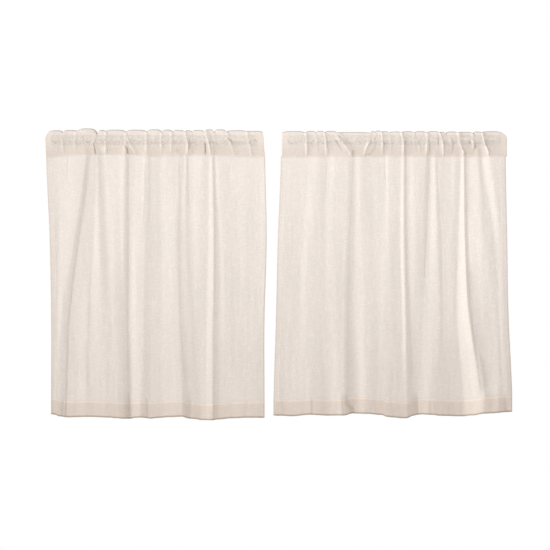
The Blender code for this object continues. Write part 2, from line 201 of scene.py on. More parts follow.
LEFT_CURLS = [Crease(*row) for row in (
    (-3.8, 2.5, 4, ((154, 40), (157, 60), (160, 86))),
    (4.0, 26, 5, ((192, 52), (194, 100))),
    (-1.4, 3, 3, ((194, 22), (197, 50), (198, 84))),
    (-4.2, 3, 4, ((258, 50), (262, 64), (264, 86))),
    (3.6, 9, 2.5, ((252, 48), (256, 64), (259, 98))),
    (3.4, 7, 4, ((262, 20), (269, 40), (279, 58), (288, 76), (291, 98))),
    (3.4, 6, 2.5, ((452, 24), (458, 40), (457, 98))),
    (-1.8, 2, 5, ((463, 24), (463, 52), (461, 70))),
    (-4.4, 3, 3, ((514, 38), (514, 56), (514, 84))),
    (4.6, 8, 3, ((523, 24), (526, 40), (529, 60), (533, 98))),
    (-0.8, 3, 4, ((539, 50), (541, 90))),
    (1.6, 4, 2, ((545, 62), (546, 95))),
    (2.6, 6, 3, ((578, 22), (595, 42), (603, 57), (608, 73), (612, 94))),
    (-2.2, 3, 6, ((586, 26), (600, 40), (602, 46))),
    (2.6, 6, 3, ((654, 34), (659, 56), (667, 96))),
    (-1.4, 3, 5, ((672, 30), (682, 44))),
    (-1.0, 12, 10, ((418, 60), (436, 76))),
    (1.3, 6, 4, ((347, 26), (354, 46))),
    (0.9, 5, 3, ((324, 30), (327, 48), (326, 84))),
    (0.8, 5, 3, ((374, 30), (375, 50), (372, 84))),
    (0.9, 5, 3, ((405, 30), (407, 48), (405, 80))),
    (0.9, 6, 3, ((55, 28), (58, 46), (58, 84))),
    (1.0, 6, 3, ((97, 26), (96, 40), (90, 66))),
    (1.2, 5, 3, ((484, 16), (480, 44), (474, 70))),
)]
RIGHT_CREASES = [Crease(*row) for row in (
    (-1.0, 3, 7, ((400, 76), (400, 210), (402, 340), (405, 485), (413, 640), (424, 800))),
    (-0.7, 3, 8, ((594, 76), (596, 340), (602, 485), (613, 630), (634, 780))),
    (-0.7, 3, 8, ((232, 76), (226, 210), (219, 340), (214, 630), (212, 860))),
    (-1.0, 3, 6, ((476, 76), (472, 170), (467, 300), (460, 480))),
    (-0.4, 3, 6, ((500, 76), (504, 200), (514, 340), (518, 560))),
    (-0.4, 2, 5, ((640, 76), (646, 170), (656, 260))),
    (-0.7, 2, 5, ((146, 76), (144, 130), (141, 200))),
    (-0.7, 2, 5, ((331, 76), (333, 130), (338, 200))),
    (3.0, 24, 8, ((590, 420), (600, 560), (612, 700), (638, 860))),
    (1.3, 10, 70, ((604, 260), (610, 480), (620, 640), (648, 820))),
    (2.6, 66, 40, ((658, 300), (678, 470), (692, 600))),
    (2.8, 64, 60, ((700, 500), (708, 640), (716, 760), (724, 960))),
    (3.4, 30, 56, ((656, 820), (668, 870), (682, 960))),
    (-4.6, 14, 6, ((210, 850), (213, 886), (229, 902), (231, 960))),
    (1.6, 16, 8, ((190, 840), (194, 960))),
    (-3.0, 22, 7, ((437, 845), (444, 960))),
    (-1.3, 7, 9, ((98, 862), (99, 960))),
    (-1.3, 9, 9, ((481, 872), (484, 960))),
    (-2.4, 12, 22, ((716, 850), (728, 960))),
)]
RIGHT_CURLS = [Crease(*row) for row in (
    (2.4, 6, 2.5, ((77, 34), (79, 56), (81, 94))),
    (-1.0, 2, 4, ((83, 24), (86, 84))),
    (2.4, 6, 2.5, ((140, 34), (142, 56), (146, 94))),
    (-0.8, 2, 4, ((144, 24), (152, 84))),
    (4.8, 9, 4, ((172, 12), (184, 28), (195, 40), (207, 56), (221, 73), (224, 98))),
    (-1.6, 4, 3, ((168, 30), (179, 41), (187, 57), (199, 72))),
    (-3.4, 3, 5, ((228, 62), (229, 76), (229, 96))),
    (-1.2, 3, 6, ((200, 22), (213, 42), (227, 60))),
    (3.2, 6, 4, ((284, 26), (282, 40), (272, 57), (269, 73), (262, 88))),
    (-1.8, 3, 4, ((301, 20), (298, 56), (286, 78), (252, 86))),
    (1.7, 4, 2, ((321, 34), (322, 52), (325, 90))),
    (-1.0, 2, 4, ((328, 24), (331, 84))),
    (1.2, 3, 2, ((331, 22), (336, 80))),
    (3.0, 6, 2.5, ((389, 32), (391, 45), (393, 98))),
    (-1.4, 2, 5, ((397, 20), (400, 46), (400, 95))),
    (2.2, 5, 2.5, ((429, 28), (437, 42), (444, 57), (446, 76))),
    (2.8, 7, 2.5, ((465, 34), (467, 56), (468, 96))),
    (-1.6, 2, 4, ((472, 24), (476, 60), (478, 86))),
    (-2.6, 3, 2, ((503, 14), (505, 54))),
    (3.0, 6, 4, ((512, 28), (517, 44), (521, 60), (520, 96))),
    (2.6, 6, 3, ((522, 54), (521, 98))),
    (2.2, 5, 2.5, ((541, 26), (546, 42), (548, 60))),
    (-1.6, 3, 4, ((552, 34), (550, 84))),
    (3.4, 7, 2.5, ((568, 28), (571, 44), (577, 57), (585, 72), (586, 98))),
    (2.6, 6, 2.5, ((583, 58), (587, 98))),
    (-1.2, 3, 6, ((586, 56), (592, 72), (594, 92))),
    (2.4, 4, 3, ((613, 28), (616, 46), (616, 66))),
    (-3.2, 3, 5, ((603, 36), (606, 46))),
    (-2.6, 2, 4, ((622, 46), (624, 64))),
    (1.6, 4, 3, ((628, 60), (632, 78))),
    (3.4, 7, 3, ((645, 28), (650, 42), (656, 56), (663, 73), (668, 98))),
    (2.8, 7, 3, ((656, 52), (664, 73), (669, 98))),
    (-1.0, 2, 6, ((656, 24), (664, 46), (676, 84))),
)]

# A curtain: how far its left corner lies from the middle of the pair, its drop, its folds,
# the creases of its panel, the gathers and the curled creases of its pocket, how far the
# pocket's seam lies below the top edge at distances from the left corner, and how far the
# crown of the pocket draws back at its two ends.
Curtain = namedtuple("Curtain", "side corner drop folds creases gathers curls seam ends")

CURTAINS = (
    Curtain(
        "left", -732, 925, LEFT_FOLDS, LEFT_CREASES, LEFT_GATHERS, LEFT_CURLS,
        ((0, 89), (125, 80), (265, 80), (340, 86), (460, 83), (560, 84), (706, 88)),
        (13, 2),
    ),
    Curtain(
        "right", 29, 920, RIGHT_FOLDS, RIGHT_CREASES, RIGHT_GATHERS, RIGHT_CURLS,
        ((0, 89), (190, 86), (724, 86)),
        (1, 17),
    ),
)

ROD_DROP = 30 * MM  # top edge down to the middle of the rod's space
ROD_HALF = 16.6 * MM  # half the pocket's depth over the rod
SEAM_HALF = 1.7 * MM  # half the pocket's depth at its seam
POCKET_ROWS = (16, 12)  # rows from the seam to the rod's middle, and from there to the top
CROWN_POWER = 3.0  # how square the pocket stands over the rod
CROWN_FLATNESS = 4  # how flat the top edge runs between two gathers
# The next three are points of the pocket's height: -1 is its seam, 0 the middle of the rod
# and 1 its top edge.
GATHERED_FROM = -0.25  # the gathers stand at their full depth from here up
MIDDLE_POINT = -0.3  # a gather's middle distance is read here
CURLS_FROM = -0.88  # the curls stand at their full height from here up
GATHERS_FULL = 2  # the gathers are full where the pocket is deeper than ROD_HALF over this
CURLS_FULL = 3  # the same for the curls
BACK_SHIFT = 0.3  # how far off the noise is read for the back, so that it differs from the front
END_LENGTH = 45 * MM  # how far in from its ends the crown draws back
BACK_SHARE = 0.6  # how deep the back's gathers are beside the front's
PINCH_HALF = 6.5 * MM  # half the width of a pinched ridge of the heading
TAUT_SHARE = 0.8  # how much flatter the rod pulls the pinches over itself
TAUT_HALF = 11 * MM  # half the height of the strip that the rod pulls flat
CREASE_END = 14.0  # a crease fades over this length at its ends, in millimetres,
CREASE_END_SHARE = 0.25  # or over this share of its own length, if that is less
HEM_STEP = 3 * MM  # the rows beside the hem's stitching
SHARP_EDGE = 50  # an edge that turns by more than this, in degrees, isn't shaded smooth
HEM_COLUMNS = 5  # the columns of a turned side hem
FEWEST_BY_FOLD = 4  # columns from one fold to the next, at least
FEWEST_BY_GATHER = 8  # columns from one gather to the next, at least
RIPPLES_START = 12  # ripples grow to their full height over the drop divided by this
CREASES_START = 50  # the same for the creases
TUCK_BACK = 1.1  # how far back the tucked top edge lies, in layers of cloth
SEAM_LINE = 0.7  # where the pocket's stitches lie between its edge and the next row
STITCH_PROUD = 0.2  # how far a stitch stands out of the cloth, in thicknesses of its thread
SEEDS = {"left": (3.0, 5.0), "right": (31.0, 37.0)}  # for the ripples of a panel and pocket
SINGLE_SHEER = 0.34  # the share of the light that goes on through one layer of the cloth
DOUBLE_SHEER = 0.16  # the same for two layers
FLOOR_MIDDLE = (0.0, -1.0, -1.66)
FLOOR_SIZE = (9.0, 4.2)
KEY_PLACE = (-9.3, -1.9, 1.4)
KEY_SIZE = 3.0
FRONT_PLACE = (0.1, -1.3, 0.2)
FRONT_SIZE = 2.2
FRONT_AIM = 0.2  # how far over the middle of the view the front lamp aims
SENSOR = 36.0  # the width of the camera's sensor, in its own millimetres


def linear(code):
    """An sRGB hex colour such as #f0e8e0 as linear red, green and blue."""
    parts = [int(code[i : i + 2], 16) / 255 for i in (1, 3, 5)]
    return [c / 12.92 if c <= 0.04045 else ((c + 0.055) / 1.055) ** 2.4 for c in parts]


def size_property(name, text, default):
    return FloatProperty(name=name, description=text, default=default, unit="LENGTH", precision=5)


def share_property(name, text, default):
    return FloatProperty(name=name, description=text, default=default, min=0.0, subtype="FACTOR")


def colour_property(name, text, code):
    return FloatVectorProperty(
        name=name, description=text, default=linear(code), size=3, min=0, max=1, subtype="COLOR"
    )


class CurtainCloth(bpy.types.PropertyGroup):
    """Sizes of the cloth and its sewing."""

    thickness: size_property("Thickness", "One layer of the cotton", 0.0006)
    column_step: size_property("Column step", "Widest step between points across", 0.0026)
    curl_step: size_property("Curl step", "Widest step across the gathered pocket", 0.0019)
    row_step: size_property("Row step", "Step between points down the panel", 0.007)
    hem_height: size_property("Hem height", "Depth of the bottom hem", 0.047)
    side_hem: size_property("Side hem", "Width of the side hems", 0.018)
    turn_gap: size_property("Turning", "Depth of a side hem, out to out", 0.0013)
    foot_gap: size_property("Foot turning", "Depth of the bottom hem, out to out", 0.003)
    tuck: size_property("Tuck", "How far the panel runs up behind its pocket's front", 0.005)
    # the crease depth at which the painted crease shade is full, on the panel and on the pocket
    panel_shade_depth: size_property("Panel tuck", "Depth of a crease at full shade", 0.024)
    pocket_shade_depth: size_property("Pocket tuck", "Depth of a crease at full shade", 0.007)
    stitch_dent: size_property("Stitched dent", "How deep the hem's stitches pull in", 0.0007)
    ripple: size_property("Ripple", "Height of the long soft ripples", 0.0012)
    rumple: size_property("Rumple", "Height of the small rumples", 0.0003)
    pitch: size_property("Thread pitch", "From one thread to the next", 0.0012)
    # stitches are drawn a little coarse, so that they show from where the camera stands
    stitch: size_property("Stitch length", "One stitch of the sewing", 0.0036)
    stitch_gap: size_property("Stitch gap", "Between two stitches", 0.0011)
    stitch_inset: size_property("Stitch inset", "From a side hem's inner edge", 0.002)
    sewing_thread: size_property("Sewing thread", "Thickness of the sewing thread", 0.0009)


class CurtainColours(bpy.types.PropertyGroup):
    """Colours of the cloth and its sewing, and the shades and highlight painted on the cloth."""

    thread: colour_property("Thread", "Unbleached cotton thread", "#f5f0eb")
    gap: colour_property("Gap", "The shade between the threads", "#e4dad1")
    # two layers make the cloth darker and warmer: partly its own colour, partly painted shade where
    # less light comes through
    doubled_and_shade: colour_property("Doubled cloth", "What two layers do to the colour", "#f2ebe6")
    # painted shade: the dark space inside the pocket, where the rod would lie, seen through the
    # weave
    shade: colour_property("Pocket shade", "The rod's space seen through the pocket", "#cdcdc8")
    # painted shade: the cloth is darkened and warmed deep in a crease, where shade falls
    crease_shade: colour_property("Tucked cloth", "Cloth folded on itself in a crease", "#b59a80")
    # painted shade along the pocket's top edge and along the folds of the hems
    outline: colour_property("Outline", "Cloth seen along its own thickness", "#d3cec9")
    sewing: colour_property("Sewing thread", "Cotton sewing thread", "#f6efe6")
    turned: colour_property("Turned edge", "The edge of the turned hem, in the light", "#fff0df")
    floor: colour_property("Floor", "Pale, warm studio floor", "#f0e9e2")


class CurtainStage(bpy.types.PropertyGroup):
    """The camera and the lamps."""

    frame_width: size_property("Frame width", "What the view takes in at the cloth", 1.7765)
    view_x: size_property("View across", "Middle of the view across", 0.0065)
    view_z: size_property("View height", "Middle of the view", -0.468)
    distance: size_property("Distance", "From the camera to the cloth", 4.0)
    ambient: share_property("Ambient", "Light from all round", 0.61)
    key: FloatProperty(name="Key", description="Soft lamp at the left", default=640.0, unit="POWER")
    front: FloatProperty(name="Front", description="Soft lamp in front", default=15.2, unit="POWER")


def smooth(share):
    """Eases a share of the way, level at 0 and at 1."""
    share = np.clip(share, 0.0, 1.0)
    return share * share * (3 - 2 * share)


def between(start, end, share):
    return start + (end - start) * share


def curve(start, end, rise, last_rise, part):
    """A smooth curve from start to end, with the slopes that it has at both."""
    return (
        start * (2 * part**3 - 3 * part**2 + 1)
        + rise * (part**3 - 2 * part**2 + part)
        + end * (3 * part**2 - 2 * part**3)
        + last_rise * (part**3 - part**2)
    )


def along(points, across):
    """Reads a short list of (distance, value) points, eased from one to the next."""
    places, values = (np.array(column, float) for column in zip(*points))
    i = np.clip(np.searchsorted(places, across) - 1, 0, len(places) - 2)
    share = smooth((across - places[i]) / (places[i + 1] - places[i]))
    return between(values[i], values[i + 1], share)


def down(values, shares):
    """Reads rows of four values on smooth curves, at shares of the way to the hem."""
    values = np.asarray(values, float)
    place = np.clip(shares, 0, 1) * 3
    i = np.minimum(place.astype(int), 2)
    before, here, after, beyond = (values.T[np.clip(i + k, 0, 3)] for k in (-1, 0, 1, 2))
    return curve(here, after, (after - before) / 2, (beyond - here) / 2, (place - i)[:, None])


def fold_depth(across, depth, number, part):
    """Depth on a smooth curve through the folds of each row, level at crests and valleys."""
    width = np.diff(across, axis=1)
    slope = np.diff(depth, axis=1) / width
    product = slope[:, :-1] * slope[:, 1:]
    same_way = product > 0
    total = np.where(same_way, slope[:, :-1] + slope[:, 1:], 1.0)
    inner = np.where(same_way, 2 * product / total, 0.0)
    tangent = np.concatenate([slope[:, :1], inner, slope[:, -1:]], axis=1)
    reach = width[:, number]
    rise, last_rise = tangent[:, number] * reach, tangent[:, number + 1] * reach
    return curve(depth[:, number], depth[:, number + 1], rise, last_rise, part)


def seam_depth(folds, across):
    """How far the panel stands forward at places along its seam."""
    places = np.array([[f.across[0] for f in folds]]) * MM
    depths = np.array([[f.depth[0] for f in folds]]) * MM
    number = np.clip(np.searchsorted(places[0], across) - 1, 0, len(folds) - 2)
    part = (across - places[0, number]) / (places[0, number + 1] - places[0, number])
    return fold_depth(places, depths, number, part)[0]


def relief(across, height, seed, cloth):
    """The small unevenness of hanging cotton: long ripples down it and small rumples."""
    # each line holds a height, how many cells of noise a metre has across and down, and
    # where in the noise it starts
    layers = (
        (cloth.ripple, 22, 2.2, seed),
        (cloth.ripple * 0.4, 60, 6, seed + 7),
        (cloth.rumple, 90, 45, seed + 13),
    )
    out = np.zeros(np.shape(across))
    for index, x in np.ndenumerate(across):
        z = height[index]
        for size, cells, cells_down, start in layers:
            out[index] += size * noise.noise((x * cells, z * cells_down, start))
    return out


def crease_relief(across, fall, creases):
    """How far the creases raise the cloth at places across it and down it. A crease fades
    towards its two ends."""
    out = np.zeros(across.shape)
    x, y = across / MM, fall / MM
    for crease in creases:
        path = np.array(crease.path, float)
        steps = np.diff(path, axis=0)
        reach = np.linalg.norm(steps, axis=1)
        starts = np.concatenate([[0], np.cumsum(reach)])
        nearest, side, place = np.full(x.shape, np.inf), np.zeros(x.shape), np.zeros(x.shape)
        for (px, py), (dx, dy), length, start in zip(path, steps, reach, starts):
            share = np.clip(((x - px) * dx + (y - py) * dy) / length**2, 0, 1)
            gap_x, gap_y = x - px - share * dx, y - py - share * dy
            gap = np.hypot(gap_x, gap_y)
            closer = gap < nearest
            nearest = np.where(closer, gap, nearest)
            side = np.where(closer, gap_x * dy - gap_y * dx, side)
            place = np.where(closer, start + share * length, place)
        flank = np.where(side > 0, crease.right, crease.left)
        end = min(max(CREASE_END, crease.left + crease.right), starts[-1] * CREASE_END_SHARE)
        fade = smooth(place / end) * smooth((starts[-1] - place) / end)
        out += crease.height * MM * (1 - smooth(nearest / flank)) * fade
    return out


def tuck_map(sheet, curtain, creases, full):
    """For each point, how deep it lies in a crease up to 1, full being the crease depth at which
    the painted crease shade is full, or how high it stands on a ridge down to -1, and how far
    it hangs below the top of its column."""
    across = sheet[:, :, 0] - curtain.corner * MM
    hollow = -crease_relief(across, -sheet[:, :, 2], creases)
    below = sheet[:, :, 2].max(axis=0) - sheet[:, :, 2]
    return np.stack([np.clip(hollow / full, -1, 1), below], axis=2)


def grid_normals(points):
    """Unit normals of a grid of points whose rows run down and columns run to the right."""
    normals = np.cross(np.gradient(points, axis=0), np.gradient(points, axis=1))
    return normals / np.linalg.norm(normals, axis=2, keepdims=True)


def lengths(points):
    """How far each point of each row lies along its row from the first."""
    steps = np.linalg.norm(np.diff(points, axis=1), axis=2)
    return np.concatenate([np.zeros((len(points), 1)), np.cumsum(steps, axis=1)], axis=1)


def at_lengths(points, distance, places):
    """Reads every row of a grid at lengths along it, the same for all or its own for each."""
    places = np.broadcast_to(places, (len(points), np.shape(places)[-1]))
    return np.stack(
        [
            np.stack([np.interp(where, run, row[:, k]) for k in range(3)], axis=1)
            for row, run, where in zip(points, distance, places)
        ]
    )


def columns(widths, step, fewest):
    """Places across the cloth as two lists: a stretch's number and the share of its width."""
    numbers, shares = [], []
    for number, width in enumerate(widths):
        count = max(fewest, math.ceil(width * MM / step))
        numbers += [number] * count
        shares += [k / count for k in range(count)]
    return np.array(numbers + [len(widths) - 1]), np.array(shares + [1.0])


def panel_front(curtain, cloth):
    """The front of a panel as a grid of points, and the row where its hem is stitched."""
    folds = curtain.folds
    widths = [max(np.subtract(b.across, a.across)) for a, b in zip(folds, folds[1:])]
    number, part = columns(widths, cloth.column_step, FEWEST_BY_FOLD)
    fall = curtain.drop * MM - cloth.hem_height
    hem_row = round(fall / cloth.row_step)
    rows_below = round(cloth.hem_height / cloth.row_step)
    last, first = 1 - HEM_STEP / fall, HEM_STEP / cloth.hem_height
    shares = np.concatenate([np.linspace(0, last, hem_row), np.ones(rows_below + 2)])
    in_hem = np.concatenate([np.zeros(hem_row + 1), np.linspace(first, 1, rows_below + 1)])
    across = down([f.across for f in folds], shares) * MM
    depth = down([f.depth for f in folds], shares) * MM
    foot = np.array([f.foot for f in folds]) * MM
    x = between(across[:, number], across[:, number + 1], part)
    top = along(curtain.seam, x[0] / MM) * MM
    bottom = curtain.drop * MM + between(foot[number], foot[number + 1], smooth(part))
    stitched = bottom - cloth.hem_height
    z = -(between(top, stitched, shares[:, None]) + in_hem[:, None] * cloth.hem_height)
    ripples = relief(x, z, SEEDS[curtain.side][0], cloth) * smooth(shares * RIPPLES_START)[:, None]
    creases = crease_relief(x, -z, curtain.creases) * smooth(shares * CREASES_START)[:, None]
    y = -fold_depth(across, depth, number, part) - ripples - creases
    y[hem_row] += cloth.stitch_dent
    return np.stack([x + curtain.corner * MM, y, z], axis=2), hem_row


def with_side_hems(points, normals, cloth):
    """Turns the two side edges back behind a grid. Gives the wider grid's points, normals,
    how far behind its base each column lies, its length from the nearer side edge and its
    length from the left one."""
    distance = lengths(points)
    width = distance[:, -1:]
    near = np.tile(np.linspace(cloth.side_hem, 0, HEM_COLUMNS), (len(points), 1))
    far = width - near[:, ::-1]
    points, normals = (
        np.concatenate(
            [at_lengths(grid, distance, near), grid, at_lengths(grid, distance, far)], axis=1
        )
        for grid in (points, normals)
    )
    turn = cloth.turn_gap
    points[:, HEM_COLUMNS - 1, 0] -= turn / 2
    points[:, -HEM_COLUMNS, 0] += turn / 2
    side = [turn] * (HEM_COLUMNS - 1) + [turn / 2]
    behind = np.array(side + [0.0] * distance.shape[1] + side[::-1])
    edge = np.concatenate([near, np.minimum(distance, width - distance), near[:, ::-1]], axis=1)
    return points, normals, behind, edge, np.concatenate([near, distance, far], axis=1)


def mesh_object(name, points, faces, material):
    """Makes one smooth object of points and faces."""
    mesh = bpy.data.meshes.new(name)
    mesh.from_pydata(points, [], faces)
    mesh.update()
    mesh.shade_smooth()
    mesh.materials.append(material)
    piece = bpy.data.objects.new(name, mesh)
    bpy.context.scene.collection.objects.link(piece)
    return piece


def cloth_object(name, points, maps, material, thickness):
    """Makes one object of a grid of points, with its lengths as UV maps in metres, and
    thickens it inwards."""
    rows, across = points.shape[:2]
    index = np.arange(rows * across).reshape(rows, across)
    quads = np.stack([index[:-1, :-1], index[1:, :-1], index[1:, 1:], index[:-1, 1:]], axis=2)
    quads = quads.reshape(-1, 4)
    piece = mesh_object(name, points.reshape(-1, 3).tolist(), quads.tolist(), material)
    for map_name, values in maps.items():
        layer = piece.data.uv_layers.new(name=map_name)
        flat = values.reshape(-1, 2)[quads.reshape(-1)]
        layer.data.foreach_set("uv", flat.reshape(-1).astype(np.float32))
    solid = piece.modifiers.new("thickness", "SOLIDIFY")
    solid.thickness = thickness
    solid.offset = -1.0
    bpy.ops.object.select_all(action="DESELECT")
    piece.select_set(True)
    bpy.context.view_layer.objects.active = piece
    bpy.ops.object.modifier_apply(modifier=solid.name)
    bpy.ops.object.shade_smooth_by_angle(angle=math.radians(SHARP_EDGE))
    return piece


def add(tree, kind, inputs=(), out=0, **settings):
    """Adds a shader node, sets what it is told, fills or links its inputs, which go in order
    or by their names, and gives one of its outputs."""
    node = tree.nodes.new("ShaderNode" + kind)
    for key, value in settings.items():
        setattr(node, key, value)
    for key, value in inputs.items() if isinstance(inputs, dict) else enumerate(inputs):
        socket = node.inputs[key]
        if isinstance(value, bpy.types.NodeSocket):
            tree.links.new(value, socket)
        else:
            socket.default_value = (*value, 1.0) if socket.type == "RGBA" else value
    return node.outputs[out] if node.outputs else node


def new_material(name):
    """An empty material and its node tree."""
    material = bpy.data.materials.new(name)
    material.use_nodes = True
    material.node_tree.nodes.clear()
    return material, material.node_tree


def matt(name, colour, roughness):
    """A plain, opaque material of one colour."""
    material, tree = new_material(name)
    surface = add(tree, "BsdfPrincipled", {"Base Color": colour, "Roughness": roughness})
    add(tree, "OutputMaterial", {"Surface": surface})
    return material


def sewing_thread(colours):
    # cotton sewing thread, a little lighter than the cloth, so that its seams show
    return matt("sewing_thread", colours.sewing, 0.75)


def studio_paint(colours):
    # matt paint: an even ground that sends a soft, warm light up
    return matt("studio_paint", colours.floor, 0.8)


# What a point's maps say: its place on the weave, its distance from the nearer side edge, how
# far it lies below the pocket's top edge or above the panel's foot, its tuck and how far it
# hangs below the top of its column.
Spot = namedtuple("Spot", "weave edge level tuck below")


def patches(tree, weave, across, down_by, detail=2.0):
    """Noise with cells of across by down_by metres on the cloth."""
    place = add(tree, "Mapping", {"Vector": weave, "Scale": (1 / across, 1 / down_by, 1.0)})
    return add(tree, "TexNoise", {"Vector": place, "Scale": 1.0, "Detail": detail}, "Fac")


def eased(tree, fades):
    """Named fades across the cloth. Each says what it reads, where it starts and ends, and
    what it goes from and to, which is 0 and 1 where it says nothing."""
    return {
        key: add(tree, "MapRange", fade, interpolation_type="SMOOTHSTEP")
        for key, fade in fades.items()
    }


def pocket_shades(tree, spot, side, colours):
    """The painted shades of the pocket, and how much its two layers show."""
    fade = eased(tree, {
        "top of the rod": (spot.level, 16.5 * MM, 19 * MM),
        "foot of the rod": (spot.level, 53 * MM, 44 * MM, 0, 0.72),
        "shade below the rod": (spot.level, 85 * MM, 50 * MM, 0, 0.16),
        "darker low down": (spot.level, 31 * MM, 40 * MM, 1, 1.34),
        "shade_specks": (patches(tree, spot.weave, 5.5 * MM, 8 * MM), 0.36, 0.68, 0.21, 0.61),
        "rim_shade": (spot.below, 4.2 * MM, 1.2 * MM),
        "doubling_and_shade": (spot.level, 10 * MM, 20 * MM, 0.62, 0.82),
        "ridge": (spot.tuck, -0.1, -0.6),
        "below the rod": (spot.level, 36 * MM, 56 * MM, 0, 0.75),
    })
    # painted shade: a band of grey specks where the rod's space lies behind the pocket's front,
    # stronger low down
    inside = add(tree, "Math", (1.0, side), operation="SUBTRACT")
    lower = (fade["foot of the rod"], fade["shade below the rod"])
    rod_shade_band = add(tree, "Math", lower, operation="ADD")
    for share in (fade["top of the rod"], inside):
        rod_shade_band = add(tree, "Math", (rod_shade_band, share), operation="MULTIPLY")
    speck_shade = fade["shade_specks"]
    for share in (fade["darker low down"], rod_shade_band):
        speck_shade = add(tree, "Math", (speck_shade, share), operation="MULTIPLY")
    # painted shade: the doubled cloth's painted darkening is weaker on the strip over the rod,
    # which stands clear of any shade behind it
    doubled_and_shade = add(tree, "Math", (rod_shade_band, -0.4, fade["doubling_and_shade"]), operation="MULTIPLY_ADD")
    # painted light: below the rod a ridge stands clear of the pocket's back, so the doubled cloth's
    # painted darkening is taken off it and it is paler too
    clear = add(tree, "Math", (fade["ridge"], fade["below the rod"]), operation="MULTIPLY")
    solid = add(tree, "Math", (1.0, clear), operation="SUBTRACT")
    doubled_and_shade = add(tree, "Math", (doubled_and_shade, solid), operation="MULTIPLY")
    shades = (
        ("MULTIPLY", speck_shade, colours.shade),
        # painted shade: along the top edge the eye looks through many threads at once, so a darker,
        # warm line is painted there
        ("MULTIPLY", fade["rim_shade"], colours.outline),
    )
    return shades, doubled_and_shade


def panel_shades(tree, spot, side, foot, cloth, colours):
    """The painted shades and highlight of the panel, and how much its hems' two layers show."""
    hem = cloth.hem_height
    fade = eased(tree, {
        "foot of the line": (spot.level, hem - 1.2 * MM, hem),
        "top of the line": (spot.level, hem + 3.6 * MM, hem + 2.4 * MM, 0, 0.45),
        "foot's fold": (spot.level, 4.5 * MM, 2.2 * MM, 0, 0.75),
        "side's fold": (spot.edge, 4.5 * MM, 1.5 * MM, 0, 0.4),
    })
    line = (fade["foot of the line"], fade["top of the line"])
    line = add(tree, "Math", line, operation="MULTIPLY")
    rim_shade = add(tree, "Math", (fade["foot's fold"], fade["side's fold"]), operation="MAXIMUM")
    # painted shade: a side hem stands clear of the cloth behind it, so it gets less of the doubled
    # cloth's painted darkening than the foot
    aside = add(tree, "Math", (side, 0.45), operation="MULTIPLY")
    doubled_and_shade = add(tree, "Math", (aside, foot), operation="MAXIMUM")
    shades = (
        # the hem's turned edge catches the light, in a line as wide as it needs to show
        ("MIX", line, colours.turned),
        # painted shade: the fold of the hem's foot faces down and the side folds turn away, so
        # darker lines are painted along them
        ("MULTIPLY", rim_shade, colours.outline),
    )
    return shades, doubled_and_shade


def cotton(name, cloth, colours, pocket=False):
    # Unbleached cotton in an open plain weave. Thick and thin threads give it fine streaks
    # both ways, light comes through it softly, and it is less sheer where doubled. Shade is
    # painted into its colour: darker and warmer where doubled, in its creases, along edges and
    # folds, and over the rod's space; a highlight is painted along the hem's turned edge.
    material, tree = new_material(name)
    weave, place, tuck = (add(tree, "UVMap", uv_map=key) for key in ("weave", "place", "tuck"))
    edge, level = add(tree, "SeparateXYZ", (place,)).node.outputs[:2]
    tuck, below = add(tree, "SeparateXYZ", (tuck,)).node.outputs[:2]
    spot = Spot(weave, edge, level, tuck, below)
    wave = {
        "Vector": weave,
        # the wave texture turns once in 0.314 of its own units
        "Scale": math.pi / 10 / cloth.pitch,
        "Distortion": 1.2,
        "Detail Scale": 0.4,
    }
    threads = [add(tree, "TexWave", wave, "Fac", bands_direction=axis) for axis in "XY"]
    cover = add(tree, "Math", threads, operation="MAXIMUM")
    # slubs are drawn three threads thick, so that they show from where the camera stands
    slubs = eased(tree, {
        "weft": (patches(tree, weave, 26 * MM, 3.4 * MM), 0.5, 0.72),
        "warp": (patches(tree, weave, 3.6 * MM, 30 * MM), 0.52, 0.74),
    })
    slub = add(tree, "Math", slubs.values(), operation="ADD", use_clamp=True)
    fleck = patches(tree, weave, 6 * MM, 6 * MM, 3.0)
    cloud = patches(tree, weave, 90 * MM, 120 * MM)
    tone = 0.84  # the cloth's tone before its slubs, flecks and clouds add to it
    for pattern, strength in ((slub, 0.055), (fleck, 0.16), (cloud, 0.05)):
        tone = add(tree, "Math", (pattern, strength, tone), operation="MULTIPLY_ADD")
    side = add(tree, "Math", (edge, cloth.side_hem), operation="LESS_THAN")
    if pocket:
        sheer = DOUBLE_SHEER
        shades, doubled_and_shade = pocket_shades(tree, spot, side, colours)
    else:
        foot = add(tree, "Math", (level, cloth.hem_height), operation="LESS_THAN")
        hems = add(tree, "Math", (side, foot), operation="MAXIMUM")
        lost = DOUBLE_SHEER - SINGLE_SHEER
        sheer = add(tree, "Math", (hems, lost, SINGLE_SHEER), operation="MULTIPLY_ADD")
        shades, doubled_and_shade = panel_shades(tree, spot, side, foot, cloth, colours)
    crease_shade_share = add(tree, "Math", (tuck, 0.0), operation="MAXIMUM")
    colour = colours.gap
    for blend, share, shade in (
        ("MIX", cover, colours.thread),
        ("MULTIPLY", 1.0, tone),
        *shades,
        # two layers: partly the cloth's own colour, partly painted shade
        ("MULTIPLY", doubled_and_shade, colours.doubled_and_shade),
        # painted shade: deep in a crease the cloth is darkened and warmed, standing in for the
        # shade that falls there
        ("MULTIPLY", crease_shade_share, colours.crease_shade),
    ):
        mixed = {0: share, 6: colour, 7: shade}
        colour = add(tree, "Mix", mixed, 2, data_type="RGBA", blend_type=blend)
    # a slub stands 1.2 times as high over the cloth as a thread does, and adds to it
    height = add(tree, "Math", (slub, 1.2, cover), operation="MULTIPLY_ADD")
    bump = add(tree, "Bump", {"Strength": 0.35, "Distance": 0.2 * MM, "Height": height})
    dull = {"Roughness": 0.9, "Specular IOR Level": 0.2}
    front = add(tree, "BsdfPrincipled", {"Base Color": colour, "Normal": bump, **dull})
    through = add(tree, "BsdfTranslucent", {"Color": colour, "Normal": bump})
    mix = add(tree, "MixShader", (sheer, front, through))
    add(tree, "OutputMaterial", {"Surface": mix})
    return material


